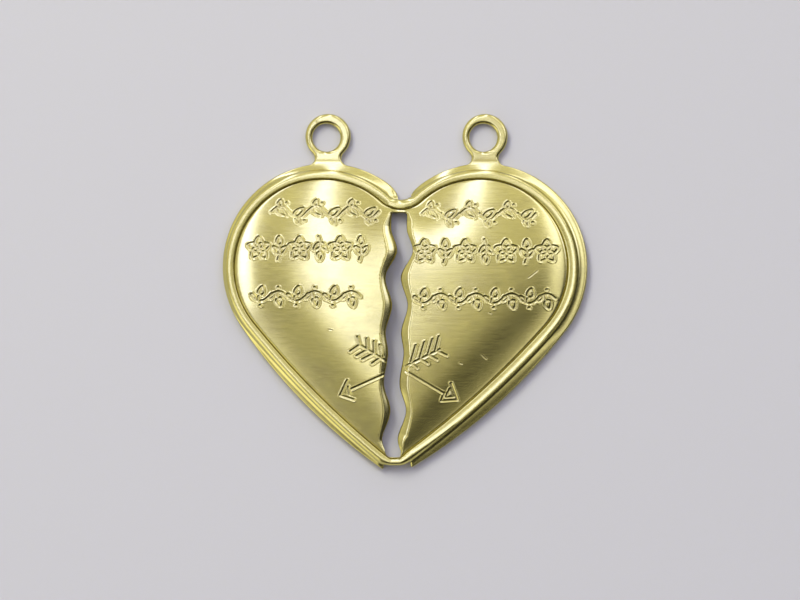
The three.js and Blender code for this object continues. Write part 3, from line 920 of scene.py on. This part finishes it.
def half_faces(half):
    """What sheet_mesh needs for a half: its front and back, the numbers of their shared ring
    and of the hole's ring, the lines that edges keep to, and the hole."""
    side = half["side"]
    trim, foot, groove, slot = (half[name] for name in ("trim", "foot", "groove", "slot"))
    outline, first, last, edge, middle = loop_outline(half)
    bend, roll, roll_drop = bend_line(half)
    flange = lengths(trim - foot)
    divisor = np.maximum(flange, 1e-6)
    raised = FLANGE_RISE * (1 - np.minimum(flange / NOTCH_RUNOUT, 1))
    round_radius = np.minimum(EDGE_ROUND, flange * NARROW_SHARE)
    climb = FLANGE_RISE - raised
    width = line_distance(foot, trim)
    slope = np.interp(width, FLANGE_RANGE, FLANGE_SLOPE)
    slope = np.minimum(slope, climb / divisor)

    def neck_round(y):
        blend = np.clip((y - edge) / NECK_BLEND, 0, 1)
        return EDGE_ROUND + (LOOP_ROUND - EDGE_ROUND) * blend * blend * (3 - 2 * blend)

    def crease(y):
        return CREASE_DEPTH * np.exp(-(((y - edge - CREASE_RISE) / CREASE_WIDTH) ** 2))

    turn = np.linspace(0, 2 * math.pi, HOLE_STEPS, endpoint=False)
    circle = np.stack((np.cos(turn), np.sin(turn)), axis=1)
    hole = middle + LOOP_HOLE_RADIUS * circle
    free_edge = np.vstack((trim[: first + 1], outline, trim[last:]))
    hole_edge = np.vstack((hole, hole[:1]))

    def plate(points, base, radius):
        """Height and rub on the flange or the loop, rounded towards the free edges."""
        distance = line_distance(points, free_edge)
        distance = np.minimum(distance, line_distance(points, hole_edge))
        return base - rounding(distance, radius), np.clip(1 - distance / RUBBED_EDGE, 0, 1)

    # Both faces: the closed ring
    front, back = Face(), Face()
    tip = end_section(foot[-1], groove[-1], slot[-1], roll[-1], roll_drop[-1])
    cleft = end_section(foot[0], groove[0], slot[0], roll[0], roll_drop[0])
    # The slot's edge keeps the field's painted shade and grime, and drops by the roll
    slot_height, slot_shade_and_grime = field(slot)
    slot_height = slot_height - roll_drop
    loop_height = SHEET - neck_round(outline[:, 1]) - crease(outline[:, 1])
    rim_height = SHEET + raised - round_radius
    stretches = (
        (trim[: first + 1], rim_height[: first + 1], 1, 0, raised[: first + 1]),
        (outline, loop_height, 1, 0, 0),
        (trim[last:], rim_height[last:], 1, 0, raised[last:]),
        (*tip, tip[1] - SHEET),
        (slot[::-1], slot_height[::-1], 0, slot_shade_and_grime[::-1], slot_height[::-1] - LIP),
        (*(part[::-1] for part in cleft), cleft[1][::-1] - SHEET),
    )
    ring = []
    for points, height, rub, grime, back_height in stretches:
        ring += front.add(points, height, rub, grime)
        back.add(points, back_height)
    ring = [k for k, before in zip(ring, ring[-1:] + ring) if k != before]
    hole_ring = front.add(hole, SHEET - LOOP_ROUND, 1)
    back.add(hole, 0)

    # Front: rows of points along the bead, the flange and the turned-down edge
    lines = []
    for share in BEAD_SHARES:
        row = front.add(foot + (groove - foot) * share, *bead(share, width))
        if share in (0, 1):
            lines.append(row)
    for step in GROOVE_STEPS:
        points = (groove + step * normals(groove, -side))[1:-1]
        front.add(points, field(points)[0], 0, field(points)[1])
    rows = [np.minimum(step, share * flange) for step, share in EDGE_STEPS]
    rows += [flange - np.minimum(step, share * flange) for step, share in FOOT_STEPS]
    wide = flange > LEAST_FLANGE
    for inward in rows:
        points = trim + (foot - trim) * (inward / divisor)[:, None]
        fillet = np.clip(1 - (flange - inward) / FOOT_FILLET, 0, 1) ** 2
        dish = 1 - FLANGE_DISH + FLANGE_DISH * inward / divisor
        rise = slope * inward * dish
        base = SHEET + raised + rise + (climb - slope * flange) * fillet
        front.add(points[wide], *plate(points[wide], base[wide], round_radius[wide]))
    for share in ROLL_SHARES[1:]:
        points = (slot + (bend - slot) * share)[1:-1]
        height, grime = field(points)
        row = front.add(points, height - (roll_drop * roll_profile(share))[1:-1], 0, grime)
    lines.append(row)

    # Front: even lattices over the field and the loop
    field_ring = np.vstack((groove, bend[::-1]))
    marks = half["strokes"] + half["scratches"]
    marked = np.vstack([along(mark, 1 + len(mark) * STROKE_STEPS) for mark in marks])
    for grain, by_stroke in ((FIELD_GRAIN, False), (STROKE_GRAIN, True)):
        points = lattice(field_ring, grain)
        points = points[near(points, marked, STROKE_REACH) == by_stroke]
        height, grime = field(points)
        front.add(points, height, 0, grime)
    inner = normals(outline, -side)
    rings = [outline[2:-2] + step * inner[2:-2] for step in LOOP_EDGE_STEPS]
    rings += [middle + (LOOP_HOLE_RADIUS + step) * circle for step in LOOP_EDGE_STEPS]
    points = lattice(np.vstack((outline, trim[last - 1 : first : -1])), LOOP_GRAIN)
    out = lengths(points - middle)
    lobe_middle = (TRIM_AXIS_X + side * LOBE_SPAN / 2, LOBE_Y)
    for points in (*rings, points[out > LOOP_HOLE_RADIUS + LOOP_EDGE_STEPS[0]]):
        out = lengths(points - lobe_middle)
        points = points[out > TRIM_LOBE_RADIUS + LOBE_GAP]
        base = SHEET - crease(points[:, 1])
        front.add(points, *plate(points, base, neck_round(points[:, 1])))

    # Back: the hollow under the bead and the dome, and the flat land along the rim
    for share in BACK_SHARES:
        hollow = BEAD_HEIGHT / 2 * math.sin(math.pi * share)
        hollow += FLANGE_RISE + GROOVE_RISE * share
        back.add((foot + (groove - foot) * share)[::BACK_STEP], hollow)
    wide = flange > LAND_WIDTH + LAND_MARGIN
    points = trim + (foot - trim) * (LAND_WIDTH / divisor)[:, None]
    back.add(points[wide][::BACK_STEP], raised[wide][::BACK_STEP])
    for points in (bend[1:-1:2], lattice(field_ring, BACK_GRAIN)):
        back.add(points, field(points)[0] - SHEET)
    return front, back, ring, hole_ring, lines, (middle, LOOP_HOLE_RADIUS)


def sheet_mesh(name, front, back, ring, hole_ring=(), lines=(), hole=None):
    """A closed mesh from a front and a back that share one ring, and a hole's ring."""
    corners = np.vstack((front.corners, back.corners))
    x, y = corners[ring, 0], corners[ring, 1]
    if (x * np.roll(y, -1) - np.roll(x, -1) * y).sum() < 0:
        ring = ring[::-1]
    top = front.triangles(ring, lines, hole).tolist()
    base = len(front.corners)
    bottom = (back.triangles(ring, (), hole)[:, ::-1] + base).tolist()
    walls = []
    for loop in (ring, list(hole_ring)[::-1]):
        walls += [(a + base, b + base, b, a) for a, b in zip(loop, loop[1:] + loop[:1])]
    mesh = bpy.data.meshes.new(name)
    mesh.from_pydata(((corners[:, :3] + plan_shift) * MM).tolist(), [], top + walls + bottom)
    kinds = np.repeat((0, 1, 2), (len(top), len(walls), len(bottom))).astype(np.int32)
    mesh.polygons.foreach_set("material_index", kinds)
    # Each point's rub, and its painted shade and grime from the groove, go to the material
    for column, mark in ((3, "rub"), (4, "grime")):
        values = corners[:, column].copy()
        mesh.attributes.new(mark, "FLOAT", "POINT").data.foreach_set("value", values)
    values = np.repeat((1.0, 0.0), (base, len(back.corners)))
    mesh.attributes.new("front", "FLOAT", "POINT").data.foreach_set("value", values)
    grain = mesh.uv_layers.new(name="grain")
    at = np.array([loop.vertex_index for loop in mesh.loops])
    u = corners[at, 1] + GRAIN_LEAN * corners[at, 2]
    v = corners[at, 0] + GRAIN_LEAN * corners[at, 2]
    grain.data.foreach_set("uv", np.stack((u, v), axis=1).ravel())
    mesh.shade_smooth()
    mesh.set_sharp_from_angle(angle=SHARP_ANGLE)
    mesh.validate()
    return mesh


def effect(name, inputs, outputs):
    """An empty shader group with named number inputs and outputs."""
    tree = bpy.data.node_groups.new(name, "ShaderNodeTree")
    for label, value in inputs.items():
        socket = tree.interface.new_socket(label, in_out="INPUT", socket_type="NodeSocketFloat")
        socket.default_value = value
    for label in outputs:
        tree.interface.new_socket(label, in_out="OUTPUT", socket_type="NodeSocketFloat")
    return tree, tree.nodes.new("NodeGroupInput"), tree.nodes.new("NodeGroupOutput")


def add_effect(tree, group, values):
    """A shader group placed in a material with its own values, and its result."""
    node = tree.nodes.new("ShaderNodeGroup")
    node.node_tree = group
    for label, value in values.items():
        node.inputs[label].default_value = value
    return node.outputs[0]


def patches(tree, scale, detail, roughness=0.5):
    """A Noise node in millimetres on the piece, stretched by a scale for each axis."""
    place = tree.nodes.new("ShaderNodeTexCoord")
    stretch = tree.nodes.new("ShaderNodeVectorMath")
    stretch.operation = "MULTIPLY"
    noise = tree.nodes.new("ShaderNodeTexNoise")
    noise.inputs["Scale"].default_value = 1
    noise.inputs["Detail"].default_value = detail
    noise.inputs["Roughness"].default_value = roughness
    tree.links.new(place.outputs["Object"], stretch.inputs[0])
    tree.links.new(stretch.outputs[0], noise.inputs["Vector"])
    if isinstance(scale, tuple):
        stretch.inputs[1].default_value = [part / MM for part in scale]
    else:
        tree.links.new(scale, stretch.inputs[1])
    return noise.outputs["Fac"]


# Fine parallel lines that a brush leaves across the charm
brushing, given, made = effect(
    "brushing", {"Line Length": 3.0, "Line Width": 0.05}, ("Lines",)
)
spread = brushing.nodes.new("ShaderNodeCombineXYZ")
for socket, label in ((0, "Line Length"), (1, "Line Width"), (2, "Line Width")):
    per_metre = reckon(brushing, "DIVIDE", 1 / MM, given.outputs[label])
    brushing.links.new(per_metre, spread.inputs[socket])
brushing.links.new(patches(brushing, spread.outputs[0], 3, 0.6), made.inputs["Lines"])

# Cloudy dulling of bare brass, with a few darker freckles: how many a millimetre along each
# axis, and the contrast and shift that part them from the clean brass
CLOUDS_PER_MM = (0.35, 0.45, 0.4)
CLOUD_SPREAD = (3.2, -1.3)
FRECKLES_PER_MM = (4.5, 6, 5)
FRECKLE_SPREAD = (9, -6.1)
tarnish, given, made = effect("tarnish", {"Amount": 0.5, "Freckles": 0.3}, ("Mask",))
cloud = patches(tarnish, CLOUDS_PER_MM, 4, 0.6)
cloud = reckon(tarnish, "MULTIPLY_ADD", cloud, *CLOUD_SPREAD, clamp=True)
cloud = reckon(tarnish, "MULTIPLY", cloud, given.outputs["Amount"])
freckle = patches(tarnish, FRECKLES_PER_MM, 2)
freckle = reckon(tarnish, "MULTIPLY_ADD", freckle, *FRECKLE_SPREAD, clamp=True)
freckle = reckon(tarnish, "MULTIPLY", freckle, given.outputs["Freckles"])
tarnish.links.new(reckon(tarnish, "MAXIMUM", cloud, freckle), made.inputs["Mask"])

# How far the brushing stretches reflections, and how strongly the marks dull the brass and
# make it rougher; the groove's mark is painted shade with some grime
BRUSHED_STRETCH = 0.7
STAMPED_DULLING = 0.25
SHADE_AND_GRIME_DARKENING = 0.8
LINE_CONTRAST = 0.34
LINE_ROUGHNESS = 0.1
DULL_ROUGHNESS = 0.08
RUB_ROUGHNESS = 0.05


def raw_brass(
    name, bright, dull, roughness, line_length, line_width, line_depth, clouds, freckles
):
    """Bare brass with its lines, its dulling, its rubbed crests and the painted shade and grime
    in its grooves.
    """
    material = bpy.data.materials.new(name)
    material.use_nodes = True
    tree = material.node_tree
    brass = tree.nodes["Principled BSDF"]
    brass.inputs["Metallic"].default_value = 1
    brass.inputs["Anisotropic"].default_value = BRUSHED_STRETCH
    lines = add_effect(tree, brushing, {"Line Length": line_length, "Line Width": line_width})
    dulled = add_effect(tree, tarnish, {"Amount": clouds, "Freckles": freckles})
    marks = {}
    for mark in ("rub", "grime", "stamped"):
        node = tree.nodes.new("ShaderNodeAttribute")
        node.attribute_name = mark
        marks[mark] = node.outputs["Fac"]
    clean = reckon(tree, "SUBTRACT", 1, marks["rub"])
    dull_mask = reckon(tree, "MULTIPLY", dulled, clean)
    dull_mask = reckon(tree, "MULTIPLY_ADD", marks["stamped"], STAMPED_DULLING, dull_mask)
    # Painted shade, with some grime, darkens the brass in and beside the groove
    dull_mask = reckon(
        tree, "MULTIPLY_ADD", marks["grime"], SHADE_AND_GRIME_DARKENING, dull_mask, clamp=True
    )
    colour = tree.nodes.new("ShaderNodeMix")
    colour.data_type = "RGBA"
    colour.inputs["A"].default_value = (*bright, 1)
    colour.inputs["B"].default_value = (*dull, 1)
    streak = tree.nodes.new("ShaderNodeHueSaturation")
    value = reckon(tree, "MULTIPLY_ADD", lines, LINE_CONTRAST, 1 - LINE_CONTRAST / 2)
    rough = reckon(tree, "MULTIPLY_ADD", lines, LINE_ROUGHNESS, roughness - LINE_ROUGHNESS / 2)
    rough = reckon(tree, "MULTIPLY_ADD", dull_mask, DULL_ROUGHNESS, rough)
    rough = reckon(tree, "MULTIPLY_ADD", marks["rub"], RUB_ROUGHNESS, rough)
    bump = tree.nodes.new("ShaderNodeBump")
    bump.inputs["Distance"].default_value = line_depth * MM
    bump.inputs["Strength"].default_value = 1
    direction = tree.nodes.new("ShaderNodeTangent")
    direction.direction_type = "UV_MAP"
    direction.uv_map = "grain"
    join(
        tree,
        (dull_mask, colour.inputs["Factor"]),
        (colour.outputs["Result"], streak.inputs["Color"]),
        (value, streak.inputs["Value"]),
        (streak.outputs["Color"], brass.inputs["Base Color"]),
        (rough, brass.inputs["Roughness"]),
        (lines, bump.inputs["Height"]),
        (bump.outputs["Normal"], brass.inputs["Normal"]),
        (direction.outputs["Tangent"], brass.inputs["Tangent"]),
    )
    return material


# Name, bright and dull colour, roughness, length, width and depth of the lines, how strong the
# clouds and freckles of tarnish are
finishes = (
    ("brushed_brass", (0.68, 0.615, 0.2), (0.42, 0.37, 0.14), 0.17, 3, 0.08, 0.0014, 0.4, 0.3),
    ("sheared_brass", (0.6, 0.52, 0.2), (0.35, 0.28, 0.1), 0.34, 0.3, 0.05, 0.01, 0.6, 0.4),
    ("back_brass", (0.62, 0.55, 0.22), (0.4, 0.33, 0.12), 0.36, 1.4, 0.07, 0.008, 0.7, 0.4),
)
brass_finishes = [raw_brass(*finish) for finish in finishes]


def add_piece(mesh):
    """A piece of the charm that shows a mesh, in the three finishes of the brass."""
    for finish in brass_finishes:
        mesh.materials.append(finish)
    piece = placed(mesh.name, mesh)
    return piece


for name, half in HALVES.items():
    piece = add_piece(sheet_mesh(f"{name}_half_shell", *half_faces(half)))
    for marks, depth, half_width, lip in (
        (half["strokes"], PUNCH_DEPTH, PUNCH_HALF_WIDTH, PUNCH_LIP),
        (half["scratches"], SCRATCH_DEPTH, SCRATCH_HALF_WIDTH, SCRATCH_LIP),
    ):
        strokes = stroke_object("strokes", [mark + plan_shift[:2] for mark in marks])
        press(
            piece,
            punch,
            Strokes=strokes,
            Depth=depth * MM,
            Lip=lip,
            **{"Half Width": half_width * MM},
        )
        bpy.data.objects.remove(strokes)
    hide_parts(f"{name}_half")
    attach(piece, name)

# Webs
# Two narrow strips of the same sheet carry the bead across the cleft and round the tip. They
# hold the halves together until the charm is folded and snapped.
WEB_STEPS = 14


def web_lines(name):
    """Foot, groove and slot points of a web at equal steps from the left to the right."""
    end = 0 if name == "top" else -1
    a, b = HALVES["left"], HALVES["right"]
    across = np.linspace(0, 1, WEB_STEPS + 1)[:, None]
    ends = [(a[key][end], b[key][end]) for key in ("foot", "groove", "slot")]
    rows = [left + (right - left) * across for left, right in ends]
    if name == "top":
        for row, radius in zip(rows, (CLEFT_RADIUS - BEAD_WIDTH, CLEFT_RADIUS)):
            row[:, 1] = cleft_y - np.sqrt(radius**2 - (row[:, 0] - HEART_AXIS_X) ** 2)
    return rows


def web_mesh(name):
    """A web's mesh: the end sections of both halves, with like ones between them."""
    end = 0 if name == "top" else -1
    front, back = Face(), Face()
    rolls = [[part[end] for part in bend_line(half)[1:]] for half in HALVES.values()]
    sections = []
    for step, (foot, groove, slot) in enumerate(zip(*web_lines(name))):
        share = step / WEB_STEPS
        roll, drop = (left + (right - left) * share for left, right in zip(*rolls))
        points, height, rub, grime = end_section(foot, groove, slot, roll, drop)
        sections.append(front.add(points, height, rub, grime))
        back.add(points, height - SHEET)
    ring = [row[0] for row in sections] + sections[-1][1:]
    ring += [row[-1] for row in sections[-2::-1]] + sections[0][-2:0:-1]
    lines = [[row[k] for row in sections] for k in (0, len(BEAD_SHARES) - 1)]
    return sheet_mesh(f"{name}_web_strip", front, back, ring, (), lines)


for name, root in (("top", "cleft_root_x"), ("bottom", "tip_root_x")):
    piece = add_piece(web_mesh(name))
    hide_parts(f"{name}_web")
    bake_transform(piece)

# Floor, light and camera
# The charm lies on its back on pale paper under soft strip lights, and the camera looks
# straight down at it.
VIEW_WIDTH = 65.216
VIEW_MIDDLE = (-0.4076, -0.6929)
CAMERA_DISTANCE = 350
SENSOR = 36

floor_mesh = bpy.data.meshes.new("paper_floor")
reach = 600 * MM
floor_mesh.from_pydata(
    [(-reach, -reach, 0), (reach, -reach, 0), (reach, reach, 0), (-reach, reach, 0)],
    [],
    [(0, 1, 2, 3)],
)
floor = placed("paper_floor", floor_mesh)
floor.location.z = -0.02 * MM
paper = bpy.data.materials.new("pale_paper")
paper.use_nodes = True
paper_shader = paper.node_tree.nodes["Principled BSDF"]
paper_shader.inputs["Base Color"].default_value = (0.48, 0.473, 0.405, 1)
paper_shader.inputs["Roughness"].default_value = 0.9
paper_shader.inputs["Specular IOR Level"].default_value = 0.1
floor_mesh.materials.append(paper)

# The studio's pale walls, darker low down and at the lower right, and its strip lights
room = bpy.data.worlds.new("studio")
room.use_nodes = True
bpy.context.scene.world = room
sky = room.node_tree
backdrop = sky.nodes["Background"]
towards = sky.nodes.new("ShaderNodeTexCoord")
split = sky.nodes.new("ShaderNodeSeparateXYZ")
sky.links.new(towards.outputs["Generated"], split.inputs[0])
sky_x, sky_y = split.outputs["X"], split.outputs["Y"]


def product(first, *others):
    """The product of some sockets and numbers."""
    for other in others:
        first = reckon(sky, "MULTIPLY", first, other)
    return first


def total(first, *others):
    """The sum of some sockets and numbers."""
    for other in others:
        first = reckon(sky, "ADD", first, other)
    return first


def ramp(value, low, high, at_low, at_high):
    """A smooth change of brightness along one direction of the studio."""
    node = sky.nodes.new("ShaderNodeMapRange")
    node.interpolation_type = "SMOOTHSTEP"
    for socket, number in zip(node.inputs[1:5], (low, high, at_low, at_high)):
        socket.default_value = number
    sky.links.new(value, node.inputs["Value"])
    return node.outputs["Result"]


def glow(middle, width, value=sky_x):
    """A soft-edged patch across one direction of the studio."""
    away = reckon(sky, "DIVIDE", reckon(sky, "SUBTRACT", value, middle), width)
    return bell(sky, away, 4)


low_corner = total(product(sky_x, 0.6), product(sky_y, -0.8))
walls = total(
    product(ramp(sky_y, -0.35, 0.35, 0.42, 0.84), ramp(low_corner, 0.08, 0.25, 1, 0.11)),
    product(ramp(sky_x, -0.42, -0.64, 0, 1.1), ramp(sky_y, -0.2, -0.4, 0, 1)),
    product(glow(0.32, 0.09), glow(-0.31, 0.1, sky_y), 0.36),
    product(glow(0.02, 0.095), glow(-0.2, 0.11, sky_y), 0.6),
)
left_strip = product(glow(-0.345, 0.045), ramp(sky_y, -0.35, 0, 0.2, 3))
leaning = total(sky_x, product(sky_y, -0.13))
middle_strip = product(glow(-0.052, 0.043, leaning), ramp(sky_y, -0.2, 0.02, 0, 2.5))
right_fade = ramp(sky_y, -0.45, -0.25, 0, 1)
right_strip = product(glow(0.345, 0.05), ramp(sky_y, -0.1, 0.2, 1.1, 1.75), right_fade)
side_box = product(glow(0.66, 0.16), glow(0.25, 0.2, sky_y), 2)
lights = total(left_strip, middle_strip, right_strip, side_box)
# The lights are bluer than the walls
tint = sky.nodes.new("ShaderNodeMix")
tint.data_type = "RGBA"
tint.inputs["A"].default_value = (1.03, 0.99, 0.95, 1)
tint.inputs["B"].default_value = (0.93, 0.97, 2.1, 1)
glare = reckon(sky, "POWER", product(lights, 0.5), 2)
sky.links.new(reckon(sky, "MINIMUM", glare, 1), tint.inputs["Factor"])
sky.links.new(tint.outputs["Result"], backdrop.inputs["Color"])
sky.links.new(total(walls, lights), backdrop.inputs["Strength"])

softbox = bpy.data.lights.new("softbox", "AREA")
softbox.shape = "DISK"
softbox.size = 260 * MM
softbox.energy = 2.2
softbox_object = placed("softbox", softbox)
softbox_object.location = (-220 * MM, 330 * MM, 360 * MM)
softbox_object.rotation_euler = (-softbox_object.location).to_track_quat("-Z", "Y").to_euler()
softbox_object.visible_glossy = False

lens = bpy.data.cameras.new("camera")
lens.sensor_width = SENSOR
lens.lens = SENSOR * CAMERA_DISTANCE / VIEW_WIDTH
lens.clip_start = 1 * MM
camera = placed("camera", lens)
camera.location = (
    (VIEW_MIDDLE[0] + plan_shift[0]) * MM,
    (VIEW_MIDDLE[1] + plan_shift[1]) * MM,
    (CAMERA_DISTANCE + FOOT_Z) * MM,
)
bpy.context.scene.camera = camera
bpy.context.scene.view_settings.view_transform = "Standard"
